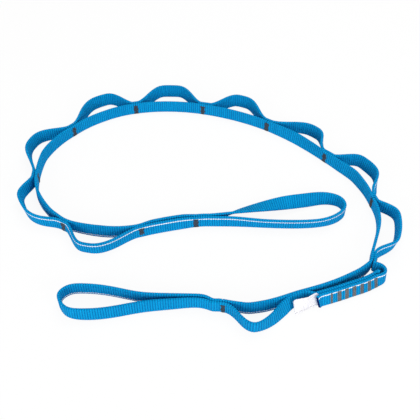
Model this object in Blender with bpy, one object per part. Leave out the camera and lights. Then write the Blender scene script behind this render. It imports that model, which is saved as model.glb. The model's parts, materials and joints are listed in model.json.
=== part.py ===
"""Climbing daisy chain of flat webbing, laid out on its edge as in a product picture.

One endless strip of webbing makes the whole sling. It is doubled, and bar tacks sew the two
strands together at an even pitch. The inner strand is the spine. The outer strand is longer, so
it bulges between the tacks and makes the pockets. Each end is a loop, and a lap splice with a row
of bar tacks closes the strip beside the lower loop.

Here the strip is cut into stretches at the tacks, so that each stretch is its own piece. The
hinged tacks end in a round knuckle that the next stretch cups, on an axis across the webbing.
Lengths are in metres, angles in degrees. +X is right, +Y is away, +Z is up along the width.
The origin is under the middle of the layout, on the surface that the edge stands on.
"""

import bmesh
import bpy
import numpy as np

# Webbing
WEB_WIDTH = 0.016
WEB_THICKNESS = 0.0031
WEB_EDGE_BEVEL = 0.0008
SEAM_GAP = 0.0003

# Spacing along the spine, from the tack by the upper loop to the tack by the lower loop
FIRST_PITCH = 0.061
POCKET_PITCH = 0.085
SPLICE_PITCH = 0.170
PITCHES = 9
LOOP_LENGTH = 0.170

# Direction of the spine at shares of the stretch that starts at each tack
HEADINGS_AT_SHARES = (
    ((0.0, 187),),
    ((0.0, 198), (0.5, 174)),
    ((0.0, 160), (0.5, 115)),
    ((0.0, 86), (0.5, 70)),
    ((0.0, 48),),
    ((0.0, 10),),
    ((0.0, -12),),
    ((0.0, -30),),
    ((0.0, -45),),
    ((0.0, -71), (0.5, -107)),
    ((0.0, -111), (0.045, -133), (0.13, -150), (0.33, -160), (0.65, -164), (1.0, -185)),
)

# Each pocket: rise of the outer strand as a share of the pitch, place of the crest, and length
# of a flank
POCKET_SHARES = (
    (0.020, 0.50, 0.50),
    (0.229, 0.60, 0.50),
    (0.188, 0.55, 0.40),
    (0.318, 0.57, 0.46),
    (0.312, 0.60, 0.43),
    (0.306, 0.51, 0.39),
    (0.300, 0.46, 0.40),
    (0.265, 0.64, 0.37),
    (0.285, 0.47, 0.42),
    (0.218, 0.47, 0.40),
)

# End loops: centreline along the loop's heading and to the left of it, from the hinge axis
UPPER_LOOP_HEADING = 3
UPPER_LOOP_SHARES = (
    (0.07, -0.012), (0.20, -0.016), (0.42, -0.032), (0.64, -0.046), (0.80, -0.032),
    (0.905, 0.008), (0.955, 0.060), (0.940, 0.112), (0.895, 0.140), (0.83, 0.153),
    (0.72, 0.143), (0.59, 0.124), (0.42, 0.093), (0.27, 0.060), (0.14, 0.030), (0.06, 0.014),
)
TWIST_START_SHARE = 0.70
TWIST_END_SHARE = 0.05
HALF_TWIST = 180
LOWER_LOOP_HEADING = 180
LOWER_LOOP_SHARES = (
    (0.064, 0.002), (0.220, -0.018), (0.338, -0.012), (0.456, 0.005), (0.588, 0.035),
    (0.708, 0.053), (0.808, 0.052), (0.882, 0.030), (0.923, -0.012), (0.941, -0.065),
    (0.920, -0.103), (0.876, -0.126), (0.808, -0.129), (0.726, -0.122), (0.597, -0.097),
    (0.467, -0.068), (0.344, -0.059), (0.138, -0.046), (0.060, -0.022),
)

# Tail: centreline along the chord between its two tacks and to the left of it. The splice's outer
# ply curls away from the fold and laps over the inner ply, which goes on into the last pocket.
SPLICE_SHARES = (
    (-0.003, 0.044), (-0.017, 0.062), (-0.030, 0.084), (-0.033, 0.107), (-0.025, 0.128),
    (-0.005, 0.139), (0.025, 0.141), (0.090, 0.149), (0.180, 0.152), (0.284, 0.155),
    (0.428, 0.156),
)
TAIL_POCKET_SHARES = (
    (0.465, 0.121), (0.519, 0.117), (0.567, 0.123), (0.626, 0.140), (0.705, 0.172),
    (0.799, 0.202), (0.849, 0.196), (0.894, 0.162), (0.919, 0.109), (0.943, 0.058),
)
LAP_LENGTH = 0.086

# Bar tacks
TACK_LENGTH = 0.0050
TACK_HEIGHT = 0.0132
TACK_FOOT = 0.0006
TACK_PROUD = 0.0005
TACK_CHAMFER = 0.0002
THREAD_WALL = 0.0008
SPLICE_TACK_COUNT = 7
SPLICE_TACK_PITCH = 0.0085
SPLICE_TACK_LENGTH = 0.0042
SPLICE_TACK_MARGIN = 0.0150

# Hinged tacks: which side of the tack the axis is on, and how far from it
HINGE_SIDES = {1: -1, 7: 1, 9: 1, 11: -1, 12: 1}
HINGE_OFFSET = 0.0047
KNUCKLE_TIP = 0.0004

# Label, folded out from between the plies of the splice, with its foot further out than its top
LABEL_LENGTH = 0.0235
LABEL_HEIGHT = 0.0150
LABEL_THICKNESS = 0.0005
LABEL_FOOT_SPLAY = 13
LABEL_TOP_SPLAY = 1

# How finely the stretches are divided
STATION_STEP = 0.010
STATION_TURN = 12
STATION_TAPER = 0.0009
SAMPLES = 24
SPINE_SAMPLES = 6000

PLY_SPACING = WEB_THICKNESS + SEAM_GAP
SLOT_LENGTH = THREAD_WALL + 2 * SEAM_GAP
KNUCKLE_RADIUS = (PLY_SPACING + WEB_THICKNESS) / 2
CUP_RADIUS = KNUCKLE_RADIUS + SEAM_GAP
ROUND_REACH = (KNUCKLE_RADIUS**2 - (SEAM_GAP / 2 + KNUCKLE_TIP) ** 2) ** 0.5
CUP_REACH = (CUP_RADIUS**2 - (KNUCKLE_RADIUS - KNUCKLE_TIP) ** 2) ** 0.5
POCKET_TACKS = FIRST_PITCH + POCKET_PITCH * np.arange(PITCHES + 1)
TACKS = np.concatenate([[0.0], POCKET_TACKS, [POCKET_TACKS[-1] + SPLICE_PITCH]])
LAST_TACK = len(TACKS)
FOLD_TACK = LAST_TACK - 1


def direction(degrees):
    """Unit vector in plan at an angle from +X."""
    return np.array([np.cos(np.radians(degrees)), np.sin(np.radians(degrees))])


def left_of(vectors):
    """The same plan vectors turned a quarter turn to the left."""
    vectors = np.asarray(vectors)
    return np.stack([-vectors[..., 1], vectors[..., 0]], axis=-1)


def unit(vector):
    """The vector at a length of one."""
    return vector / np.linalg.norm(vector)


def distances(line):
    """Length along a line of points, from its first point."""
    return np.concatenate([[0.0], np.cumsum(np.linalg.norm(np.diff(line, axis=0), axis=1))])


def tangents(line):
    """Unit direction of a line at each of its points."""
    steps = np.gradient(line, axis=0)
    return steps / np.linalg.norm(steps, axis=1)[:, None]


def smooth_line(points, first, last):
    """Cubic spline through points, over their chord lengths, with given end directions.

    The second derivatives solve the usual three-term equations, and the two end rows make the
    first derivatives there equal the given unit vectors.
    """
    points = np.asarray(points, float)
    span = np.diff(distances(points))
    slope = np.diff(points, axis=0) / span[:, None]
    matrix = np.zeros((len(points), len(points)))
    index = np.arange(len(span))
    matrix[index, index] += 2 * span
    matrix[index + 1, index + 1] += 2 * span
    matrix[index, index + 1] = span
    matrix[index + 1, index] = span
    ends = [unit(np.asarray(first))], [unit(np.asarray(last))]
    second = np.linalg.solve(matrix, 6 * np.diff(np.concatenate([ends[0], slope, ends[1]]), axis=0))
    u = np.linspace(0.0, 1.0, SAMPLES, endpoint=False)[None, :, None]
    rise = second[:-1, None] * ((1 - u) ** 3 - (1 - u)) + second[1:, None] * (u**3 - u)
    line = (1 - u) * points[:-1, None] + u * points[1:, None] + span[:, None, None] ** 2 / 6 * rise
    return np.concatenate([line.reshape(-1, 2), points[-1:]])


def smoothstep(share):
    """Rises from 0 to 1 with level ends."""
    share = np.clip(share, 0.0, 1.0)
    return share**2 * (3 - 2 * share)


class Spine:
    """Centreline of the inner strand, integrated from its heading."""

    def __init__(self):
        knots, headings = [], []
        for start, end, stretch in zip(TACKS, TACKS[1:], HEADINGS_AT_SHARES):
            knots += [start + share * (end - start) for share, _ in stretch]
            headings += [heading for _, heading in stretch]
        overrun = HINGE_OFFSET + CUP_RADIUS
        self.s = np.linspace(-overrun, TACKS[-1] + overrun, SPINE_SAMPLES)
        self.heading = np.radians(np.interp(self.s, knots, headings))
        middle = (self.heading[1:] + self.heading[:-1]) / 2
        steps = np.diff(self.s)[:, None] * np.stack([np.cos(middle), np.sin(middle)], axis=1)
        self.points = np.concatenate([np.zeros((1, 2)), np.cumsum(steps, axis=0)])

    def at(self, s):
        """Point of the centreline at a distance."""
        return np.stack([np.interp(s, self.s, self.points[:, i]) for i in range(2)], axis=-1)

    def along(self, s):
        """Unit direction of the centreline at a distance."""
        heading = np.interp(s, self.s, self.heading)
        return np.stack([np.cos(heading), np.sin(heading)], axis=-1)

    def pocket(self, s, rise=0.0):
        """Point of the pocket strand beside the spine, with its rise above the sewn place."""
        offset = np.broadcast_to(PLY_SPACING + rise, np.shape(s))
        return self.at(s) + left_of(self.along(s)) * offset[..., None]

    def seam(self, tack, offset=0.0):
        """Point between the two strands, at or beside a tack."""
        s = TACKS[tack - 1] + offset
        return self.at(s) + left_of(self.along(s)) * PLY_SPACING / 2

    def axis(self, tack):
        """Hinge axis beside a tack."""
        return self.seam(tack, HINGE_SIDES[tack] * HINGE_OFFSET)


class End:
    """End of a stretch at a tack: where it lies along the spine, and its form.

    A plain end leaves the slot for the thread. At a hinged tack, the stretch that the thread
    passes through ends in a round, and the stretch on the other side of the axis in a cup.
    """

    def __init__(self, tack, after):
        side = 1 if after else -1
        self.form, self.reach = "plain", 0.0
        self.axis = side * SLOT_LENGTH / 2
        self.sewn = side * (TACK_LENGTH / 2 + SEAM_GAP)
        if tack in HINGE_SIDES:
            self.axis = HINGE_SIDES[tack] * HINGE_OFFSET
            self.form = "cup" if HINGE_SIDES[tack] == side else "round"
            self.reach = side * CUP_REACH if self.form == "cup" else -side * ROUND_REACH
        if self.form == "cup":
            self.sewn = self.axis + side * (CUP_RADIUS + SEAM_GAP)
        self.tip = self.axis + self.reach
        self.origin = TACKS[tack - 1]

    def run(self):
        """Distances along the spine from the tip to where the strands may part."""
        return self.origin + np.linspace(self.tip, self.sewn, SAMPLES)


def ply_sides(line, start, end, side):
    """Lateral extents of a ply along its line, shaped at both ends.

    Away from a hinge the ply is as thick as the webbing. A round end narrows along the circle of
    the knuckle, and a cup begins along a circle that clears it. side is 1 where the ply lies left
    of the hinge axes, and -1 where it lies right.
    """
    s = distances(line)
    low, high = np.full(len(s), SEAM_GAP / 2), np.full(len(s), KNUCKLE_RADIUS)
    for shape, from_tip in ((start, s), (end, s[-1] - s)):
        if shape.form == "round":
            past = np.maximum(abs(shape.reach) - from_tip, 0.0)
            high = np.minimum(high, np.sqrt(KNUCKLE_RADIUS**2 - past**2))
        elif shape.form == "cup":
            past = np.minimum(abs(shape.reach) + from_tip, CUP_RADIUS)
            low = np.maximum(low, np.sqrt(CUP_RADIUS**2 - past**2))
    middle = PLY_SPACING / 2
    return (low - middle, high - middle) if side > 0 else (middle - high, middle - low)


def spine_stretch(spine, tack):
    """Line and lateral extents of the spine from one tack to the next."""
    start, end = End(tack, True), End(tack + 1, False)
    first, last = start.run(), end.run()[::-1]
    between = np.linspace(first[-1], last[0], 4 * SAMPLES)[1:-1]
    line = spine.at(np.concatenate([first, between, last]))
    return line, *ply_sides(line, start, end, -1)


def pocket_stretch(spine, tack, rise_share, crest, flank):
    """Line and lateral extents of a pocket from one tack to the next.

    The rise follows a smoothstep up one flank and down the other, with a level crest between.
    """
    start, end = End(tack, True), End(tack + 1, False)
    pitch = end.origin - start.origin
    first, last = start.run(), end.run()[::-1]
    free = np.linspace(first[-1], last[0], 6 * SAMPLES)
    share = (free - free[0]) / (free[-1] - free[0])
    side = np.where(share < crest, share / crest, (1 - share) / (1 - crest)) / 2
    bulge = spine.pocket(free, rise_share * pitch * smoothstep(side / flank))
    line = np.concatenate([spine.pocket(first)[:-1], bulge, spine.pocket(last)[1:]])
    return line, *ply_sides(line, start, end, 1)


def loop_stretch(spine, tack, heading, shares, side):
    """Line and lateral extents of an end loop, and how far along the loop each point is.

    The line starts on the pocket strand's side of the hinge axis and comes back on the spine's
    side. side is 1 where the pocket strand's side is on the left of the heading.
    """
    half = side * PLY_SPACING / 2
    cup = End(tack, side > 0)
    seat = CUP_RADIUS + SEAM_GAP
    straight = np.linspace(CUP_REACH, seat, SAMPLES)[:-1]
    route = [(seat, half), *(np.array(shares) * LOOP_LENGTH), (seat, -half)]
    local = np.concatenate([
        np.column_stack([straight, np.full(len(straight), half)]),
        smooth_line(route, (1.0, 0.0), (-1.0, 0.0)),
        np.column_stack([straight[::-1], np.full(len(straight), -half)]),
    ])
    line = spine.axis(tack) + local[:, :1] * direction(heading)
    line += local[:, 1:] * left_of(direction(heading))
    return line, *ply_sides(line, cup, cup, side), local[:, 0] / LOOP_LENGTH


def half_twist(place):
    """Roll along the upper loop: a half twist in the strand that comes back from the tip."""
    back = np.arange(len(place)) > np.argmax(place)
    share = (TWIST_START_SHARE - place) / (TWIST_START_SHARE - TWIST_END_SHARE)
    return HALF_TWIST * smoothstep(np.where(back, share, 0.0))


def tail_points(spine, shares):
    """Points beside the tail, along the chord between its two tacks and left of it."""
    start, end = spine.at(TACKS[-2]), spine.at(TACKS[-1])
    along = unit(end - start)
    points = np.array(shares) * SPLICE_PITCH
    return start + points[:, :1] * along + points[:, 1:] * left_of(along)


def splice_outer_ply(spine):
    """Line and lateral extents of the ply that goes from the fold round the curl to its cut end."""
    start = End(FOLD_TACK, True)
    lead = spine.pocket(start.run())
    lap = tail_points(spine, SPLICE_SHARES)
    route = smooth_line([lead[-1], *lap], lead[-1] - lead[-2], lap[-1] - lap[-2])
    line = np.concatenate([lead[:-1], route])
    cut = End(FOLD_TACK - 1, False)
    return line, *ply_sides(line, start, cut, 1)


def splice_inner_ply(spine, outer):
    """Line and lateral extents of the ply under the lap, which goes on into the last pocket."""
    s = distances(outer)
    lap = outer[s > s[-1] - LAP_LENGTH]
    under = lap - left_of(tangents(lap)) * PLY_SPACING
    end = End(LAST_TACK, False)
    close = spine.pocket(end.run()[::-1])
    pocket = tail_points(spine, TAIL_POCKET_SHARES)
    route = smooth_line([under[-1], *pocket, close[0]], under[-1] - under[-2], close[1] - close[0])
    line = np.concatenate([under[:-1], route, close[1:]])
    cut = End(FOLD_TACK - 1, True)
    return line, *ply_sides(line, cut, end, 1)


def ring(left, right, roll):
    """Section of the webbing: a thin rectangle with bevelled edges, turned about its middle."""
    bevel = min(WEB_EDGE_BEVEL, 0.3 * (right - left))
    near, far, top = left + bevel, right - bevel, WEB_WIDTH - bevel
    across = np.array([near, far, right, right, far, near, left, left])
    up = np.array([0.0, 0.0, bevel, top, WEB_WIDTH, WEB_WIDTH, top, bevel])
    middle = (left + right) / 2
    a, u = across - middle, up - WEB_WIDTH / 2
    cos, sin = np.cos(np.radians(roll)), np.sin(np.radians(roll))
    return middle + a * cos - u * sin, WEB_WIDTH / 2 + a * sin + u * cos


def strip(line, lefts, rights, roll=None):
    """Carries the webbing's section along a line in plan. Returns points and faces.

    Sections stand closer together where the line turns, where the webbing rolls and where an end
    narrows.
    """
    roll = np.zeros(len(line)) if roll is None else roll
    along = tangents(line)
    turn = np.degrees(np.unwrap(np.arctan2(along[:, 1], along[:, 0])))
    changes = np.abs(np.diff(turn)) + np.abs(np.diff(roll))
    tapers = np.abs(np.diff(lefts)) + np.abs(np.diff(rights))
    cost = distances(line) / STATION_STEP
    cost[1:] += np.cumsum(changes / STATION_TURN + tapers / STATION_TAPER)
    count = int(np.ceil(cost[-1])) + 1
    stations = np.interp(np.linspace(0.0, cost[-1], count), cost, np.arange(len(line)))
    columns = np.column_stack([line, left_of(along), lefts, rights, roll]).T
    rows = np.column_stack([np.interp(stations, np.arange(len(line)), column) for column in columns])
    points = []
    for x, y, normal_x, normal_y, left, right, angle in rows:
        across, up = ring(left, right, angle)
        points.append(np.column_stack([x + normal_x * across, y + normal_y * across, up]))
    sides = len(points[0])
    faces = [tuple(range(sides)), tuple(range((count - 1) * sides, count * sides))]
    for i in range(count - 1):
        for j in range(sides):
            k = (j + 1) % sides
            faces.append((i * sides + j, i * sides + k, (i + 1) * sides + k, (i + 1) * sides + j))
    return np.concatenate(points), faces


def prism(outline, foot, height, upper=None):
    """Points and faces of a plan outline carried up, to another outline or straight."""
    count = len(outline)
    low = np.column_stack([outline, np.full(count, foot)])
    high = np.column_stack([outline if upper is None else upper, np.full(count, foot + height)])
    sides = [(i, (i + 1) % count, (i + 1) % count + count, i + count) for i in range(count)]
    caps = [tuple(range(count)), tuple(range(count, 2 * count))]
    return np.concatenate([low, high]), caps + sides


def placed(outline, centre, along):
    """Moves a plan outline from the axes to a place and a direction."""
    outline, along = np.asarray(outline), unit(along)
    return centre + outline[:, :1] * along + outline[:, 1:] * left_of(along)


def tack(centre, along, length):
    """A bar tack: a pad of thread on each face, and the thread that passes through both plies."""
    face = KNUCKLE_RADIUS + SEAM_GAP
    top, half, wall = face + TACK_PROUD, length / 2, THREAD_WALL / 2
    quarter = [(wall, face), (half, face), (half, top - TACK_CHAMFER), (half - TACK_CHAMFER, top)]
    upper = quarter + [(-x, y) for x, y in reversed(quarter)]
    outline = upper + [(-x, -y) for x, y in upper]
    return prism(placed(outline, centre, along), TACK_FOOT, TACK_HEIGHT)


def slot(centre, along):
    """The cutter for the narrow upright slot that a tack's thread passes through."""
    x, y = SLOT_LENGTH / 2, CUP_RADIUS
    box = placed([(-x, -y), (x, -y), (x, y), (-x, y)], centre, along)
    return prism(box, TACK_FOOT - SEAM_GAP, TACK_HEIGHT + 2 * SEAM_GAP)


def merged(shapes):
    """One set of points and faces from several."""
    points, faces, count = [], [], 0
    for shape_points, shape_faces in shapes:
        faces += [tuple(i + count for i in face) for face in shape_faces]
        points.append(shape_points)
        count += len(shape_points)
    return np.concatenate(points), faces


class Layout:
    """All pieces in plan, before they are moved over the origin."""

    def __init__(self):
        self.spine = Spine()
        self.pieces = []
        self.pivots = {}
        self.chain()
        self.loops()
        self.tail()

    def add(self, name, body, shape, material="webbing", slots=()):
        """Notes one piece: its name, the body it moves with, its shape, finish and slots."""
        self.pieces.append((name, body, shape, material, slots))

    def seams(self, *tacks):
        """Places and directions of the tacks that pass through a stretch by a slot."""
        hinged = [number for number in tacks if number in HINGE_SIDES]
        return [(self.spine.seam(t), self.spine.along(TACKS[t - 1])) for t in hinged]

    def chain(self):
        """Spine and pockets between the two end loops, with their bar tacks."""
        body = "chain_left"
        for first in range(1, LAST_TACK):
            after = first if HINGE_SIDES.get(first, 0) < 0 else None
            before = first + 1 if HINGE_SIDES.get(first + 1, 0) > 0 else None
            slots = self.seams(after, before)
            if first == FOLD_TACK:
                body = "tail"
            shape = strip(*spine_stretch(self.spine, first))
            self.add(f"spine_{first:02d}", body, shape, slots=slots)
            if first < FOLD_TACK:
                shape = strip(*pocket_stretch(self.spine, first, *POCKET_SHARES[first - 1]))
                self.add(f"pocket_{first:02d}", body, shape, slots=slots)
            if first + 1 == FOLD_TACK:
                self.pivots["tail"] = self.spine.axis(FOLD_TACK)
            elif HINGE_SIDES.get(first + 1, 0) > 0 and first + 1 < LAST_TACK:
                body = {"chain_left": "chain_middle", "chain_middle": "chain_right"}[body]
                self.pivots[body] = self.spine.axis(first + 1)
        bodies = {name: body for name, body, *_ in self.pieces}
        for number, s in enumerate(TACKS, start=1):
            owner = number if HINGE_SIDES.get(number, 1) < 0 else number - 1
            shape = tack(self.spine.seam(number), self.spine.along(s), TACK_LENGTH)
            self.add(f"pocket_tack_{number:02d}", bodies[f"spine_{owner:02d}"], shape, "thread")

    def loops(self):
        """The two end loops."""
        line, lefts, rights, place = loop_stretch(
            self.spine, 1, UPPER_LOOP_HEADING, UPPER_LOOP_SHARES, -1)
        self.pivots["upper_end_loop"] = self.spine.axis(1)
        self.add("upper_end_loop", "upper_end_loop", strip(line, lefts, rights, half_twist(place)))
        line, lefts, rights, _ = loop_stretch(
            self.spine, LAST_TACK, LOWER_LOOP_HEADING, LOWER_LOOP_SHARES, 1)
        self.pivots["lower_end_loop"] = self.spine.axis(LAST_TACK)
        self.add("lower_end_loop", "lower_end_loop", strip(line, lefts, rights))

    def tail(self):
        """The lap splice with its row of bar tacks, the last pocket, and the label."""
        outer, outer_left, outer_right = splice_outer_ply(self.spine)
        inner, inner_left, inner_right = splice_inner_ply(self.spine, outer)
        normals = left_of(tangents(outer))
        columns = np.column_stack([outer - normals * PLY_SPACING / 2, normals]).T
        s = distances(outer)
        seams = []
        for number in range(SPLICE_TACK_COUNT):
            place = s[-1] - SPLICE_TACK_MARGIN - number * SPLICE_TACK_PITCH
            x, y, normal_x, normal_y = (np.interp(place, s, column) for column in columns)
            seams.append((np.array([x, y]), np.array([normal_y, -normal_x])))
            shape = tack(*seams[-1], SPLICE_TACK_LENGTH)
            self.add(f"splice_tack_{number + 1}", "tail", shape, "thread")
        shape = strip(outer, outer_left, outer_right)
        self.add("splice_outer_ply", "tail", shape, slots=self.seams(FOLD_TACK) + seams)
        shape = strip(inner, inner_left, inner_right)
        self.add("splice_inner_ply", "tail", shape, slots=self.seams(LAST_TACK) + seams)

        along = tangents(outer)[-1]
        face = outer[-1] - left_of(along) * (WEB_THICKNESS / 2)
        pivot = face + along * (LABEL_THICKNESS + SEAM_GAP)
        angle = np.degrees(np.arctan2(along[1], along[0]))
        x, y = LABEL_LENGTH, LABEL_THICKNESS
        sheet = [(0.0, 0.0), (x, 0.0), (x, y), (0.0, y)]
        lower = placed(sheet, pivot, direction(angle + LABEL_FOOT_SPLAY))
        upper = placed(sheet, pivot, direction(angle + LABEL_TOP_SPLAY))
        self.pivots["label"] = pivot
        self.add("label", "label", prism(lower, TACK_FOOT, LABEL_HEIGHT, upper), "label")


def make_material(name, colour, roughness):
    """A plain Principled material."""
    material = bpy.data.materials.new(name)
    material.use_nodes = True
    shader = material.node_tree.nodes["Principled BSDF"]
    shader.inputs["Base Color"].default_value = (*colour, 1.0)
    shader.inputs["Roughness"].default_value = roughness
    shader.inputs["Metallic"].default_value = 0.0
    return material


def add_object(name, shape, material, pivot, origin):
    """A closed mesh object under a pivot, from points in the layout's own frame."""
    points, faces = shape
    mesh = bpy.data.meshes.new(name)
    mesh.from_pydata((points - origin).tolist(), [], faces)
    solid = bmesh.new()
    solid.from_mesh(mesh)
    bmesh.ops.recalc_face_normals(solid, faces=solid.faces)
    solid.to_mesh(mesh)
    solid.free()
    mesh.shade_smooth()
    mesh.set_sharp_from_angle(angle=np.radians(35))
    mesh.materials.append(material)
    obj = bpy.data.objects.new(name, mesh)
    bpy.context.scene.collection.objects.link(obj)
    obj.parent = pivot
    return obj


def cut_slots(obj, slots, origin):
    """Cuts the thread's slots through a ply."""
    shape = merged([slot(*place) for place in slots])
    cutter = add_object(obj.name + "_slots", shape, obj.data.materials[0], obj.parent, origin)
    cutter.hide_render = True
    cutter.display_type = "WIRE"
    modifier = obj.modifiers.new("thread slots", "BOOLEAN")
    modifier.operation = "DIFFERENCE"
    modifier.solver = "EXACT"
    modifier.object = cutter


def build():
    """Makes the scene: an empty on each hinge axis, and the pieces under them."""
    for obj in list(bpy.data.objects):
        bpy.data.objects.remove(obj)
    materials = {
        "webbing": make_material("webbing", (0.0, 0.28, 0.62), 0.75),
        "thread": make_material("thread", (0.07, 0.075, 0.09), 0.6),
        "label": make_material("label", (0.85, 0.85, 0.85), 0.5),
    }
    layout = Layout()
    points = np.concatenate([shape[0][:, :2] for _, _, shape, _, _ in layout.pieces])
    middle = (points.min(axis=0) + points.max(axis=0)) / 2

    parents = {"chain_left": None, "upper_end_loop": "chain_left", "chain_middle": "chain_left",
               "chain_right": "chain_middle", "tail": "chain_right", "lower_end_loop": "tail",
               "label": "tail"}
    pivots, places = {}, {}
    for body, parent in parents.items():
        pivot = bpy.data.objects.new(body + "_pivot", None)
        bpy.context.scene.collection.objects.link(pivot)
        places[body] = np.array([*layout.pivots.get(body, middle), 0.0])
        pivot.location = places[body] - np.array([*middle, 0.0])
        if parent:
            pivot.parent = pivots[parent]
            pivot.location = places[body] - places[parent]
        pivots[body] = pivot

    for name, body, shape, material, slots in layout.pieces:
        obj = add_object(name, shape, materials[material], pivots[body], places[body])
        if slots:
            cut_slots(obj, slots, places[body])


build()
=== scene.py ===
# %% [markdown]
# # Climbing daisy chain
#
# One long strip of flat, ribbed webbing makes this chain. It is doubled and sewn with bar tacks,
# so one strand is a spine and the other bulges into pockets, with a loop at each end. Everything
# stands on its edge. We work out each strand as a line in plan, carry the webbing's section along
# it, and then add stitches, a label and the studio.

# %% Load the frame
import json

import bpy
import numpy as np
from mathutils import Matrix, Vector


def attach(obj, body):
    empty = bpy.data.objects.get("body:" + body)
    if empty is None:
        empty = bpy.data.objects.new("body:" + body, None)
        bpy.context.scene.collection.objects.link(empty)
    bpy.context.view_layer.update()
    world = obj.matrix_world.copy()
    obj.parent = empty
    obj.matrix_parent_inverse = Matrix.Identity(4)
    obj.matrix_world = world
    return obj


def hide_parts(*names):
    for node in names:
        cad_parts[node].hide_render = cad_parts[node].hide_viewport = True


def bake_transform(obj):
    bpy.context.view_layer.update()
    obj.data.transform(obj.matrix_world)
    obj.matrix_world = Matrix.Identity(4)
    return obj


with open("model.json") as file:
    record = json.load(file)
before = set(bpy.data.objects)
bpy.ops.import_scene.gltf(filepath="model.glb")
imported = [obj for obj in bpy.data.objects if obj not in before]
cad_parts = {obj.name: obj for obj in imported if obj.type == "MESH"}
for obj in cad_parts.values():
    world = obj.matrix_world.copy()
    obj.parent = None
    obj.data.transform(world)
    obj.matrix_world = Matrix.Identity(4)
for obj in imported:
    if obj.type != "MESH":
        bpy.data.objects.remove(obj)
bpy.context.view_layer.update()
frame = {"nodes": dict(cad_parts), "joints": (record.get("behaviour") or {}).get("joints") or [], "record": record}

# %% [markdown]
# ## Sizes
#
# The sizes are in metres. The main ones repeat those that the solid model was built from, and the
# curves of the pockets and loops are set a little closer to how slack cloth lies. Tacks are
# numbered from the one beside the upper loop, and each lies at a distance along the spine.

# %% Sizes of the webbing and the chain
WEB_WIDTH, WEB_THICKNESS, PLY_SPACING = 0.016, 0.0031, 0.0034
MID_HEIGHT = WEB_WIDTH / 2
FIRST_PITCH, POCKET_PITCH, SPLICE_PITCH, LOOP_LENGTH = 0.061, 0.085, 0.170, 0.170
TACKS = np.cumsum([0.0, FIRST_PITCH] + [POCKET_PITCH] * 9 + [SPLICE_PITCH])
LAST = len(TACKS)
print(f"{LAST} tacks, the last one {TACKS[-1]:.3f} m along the spine")

# %% Direction of the spine in degrees, at shares of the stretch after each tack
HEADINGS = (
    ((0.0, 187),),
    ((0.0, 198), (0.5, 174)),
    ((0.0, 160), (0.5, 115)),
    ((0.0, 86), (0.5, 70)),
    ((0.0, 48),),
    ((0.0, 10),),
    ((0.0, -12),),
    ((0.0, -30),),
    ((0.0, -45),),
    ((0.0, -71), (0.5, -107)),
    ((0.0, -111), (0.045, -133), (0.13, -150), (0.33, -160), (0.65, -164), (1.0, -185)),
)

# %% Rise, crest and flank of each pocket, as shares of its pitch
POCKETS = (
    (0.006, 0.50, 0.50), (0.231, 0.66, 0.44), (0.190, 0.60, 0.38), (0.251, 0.58, 0.46),
    (0.287, 0.62, 0.42), (0.306, 0.51, 0.39), (0.287, 0.445, 0.43), (0.257, 0.65, 0.45),
    (0.255, 0.40, 0.37), (0.209, 0.41, 0.30),
)

# %% End loops, along their heading and left of it, as shares of the loop's length
UPPER_LOOP = (
    (0.07, -0.012), (0.20, -0.021), (0.42, -0.043), (0.64, -0.060), (0.80, -0.052),
    (0.903, -0.015), (0.949, 0.045), (0.932, 0.100), (0.889, 0.128), (0.825, 0.141),
    (0.72, 0.133), (0.59, 0.119), (0.42, 0.092), (0.27, 0.062), (0.14, 0.029), (0.06, 0.013),
)
LOWER_LOOP = (
    (0.064, -0.004), (0.220, -0.015), (0.338, -0.001), (0.456, 0.015), (0.588, 0.043),
    (0.708, 0.061), (0.808, 0.061), (0.881, 0.039), (0.921, -0.006), (0.935, -0.058),
    (0.911, -0.095), (0.869, -0.117), (0.808, -0.122), (0.726, -0.117), (0.597, -0.094),
    (0.467, -0.065), (0.344, -0.055), (0.138, -0.050), (0.060, -0.029),
)

# %% Tail, along the chord between its two tacks and left of it, as shares of that pitch
SPLICE = (
    (-0.008, 0.040), (-0.025, 0.055), (-0.038, 0.076), (-0.041, 0.098), (-0.032, 0.119),
    (-0.011, 0.131), (0.022, 0.135), (0.090, 0.146), (0.180, 0.151), (0.284, 0.155),
    (0.428, 0.156),
)
LAST_POCKET = (
    (0.465, 0.115), (0.513, 0.104), (0.558, 0.108), (0.614, 0.129), (0.696, 0.175),
    (0.797, 0.208), (0.852, 0.202), (0.888, 0.163), (0.911, 0.107), (0.937, 0.053),
)
LAP_LENGTH = 0.086

# %% Tacks, and hinges that lie before (-1) or after (+1) their tack
TACK_LENGTH, TACK_FOOT, TACK_HEIGHT = 0.0050, 0.0008, 0.0130
SPLICE_TACK_PITCH, SPLICE_MARGIN = 0.0085, 0.0150
SPLICE_TACK_LENGTHS = (0.0026, 0.0046, 0.0043, 0.0040, 0.0040, 0.0044, 0.0038)
HINGE_SIDES = {1: -1, 7: 1, 9: 1, 11: -1, 12: 1}
HINGE_OFFSET, HINGE_SEAT, SEWN_REACH = 0.0047, 0.00385, 0.0028
print(f"{len(POCKETS)} pockets in the row, {len(SPLICE_TACK_LENGTHS)} tacks on the splice")

# %% [markdown]
# ## The strands in plan
#
# A strap on its edge bends in plan only, so its shape is a line. The spine's heading is given at
# a few places, and adding up small steps along it gives the line. Everything else is set off to
# the left of the spine, where the pockets are.


# %% Helpers for plan lines
def direction(degrees):
    """Unit vector in plan: the cosine and sine of an angle from +X."""
    return np.array([np.cos(np.radians(degrees)), np.sin(np.radians(degrees))])


def left_of(vectors):
    """A quarter turn to the left: (x, y) becomes (-y, x)."""
    return np.stack([-vectors[..., 1], vectors[..., 0]], axis=-1)


def distances(line):
    """Running sum of the lengths of a line's steps."""
    return np.concatenate([[0.0], np.cumsum(np.linalg.norm(np.diff(line, axis=0), axis=1))])


def tangents(line):
    """Central differences of the points, at a length of one."""
    steps = np.gradient(line, axis=0)
    return steps / np.linalg.norm(steps, axis=1)[:, None]


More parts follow.
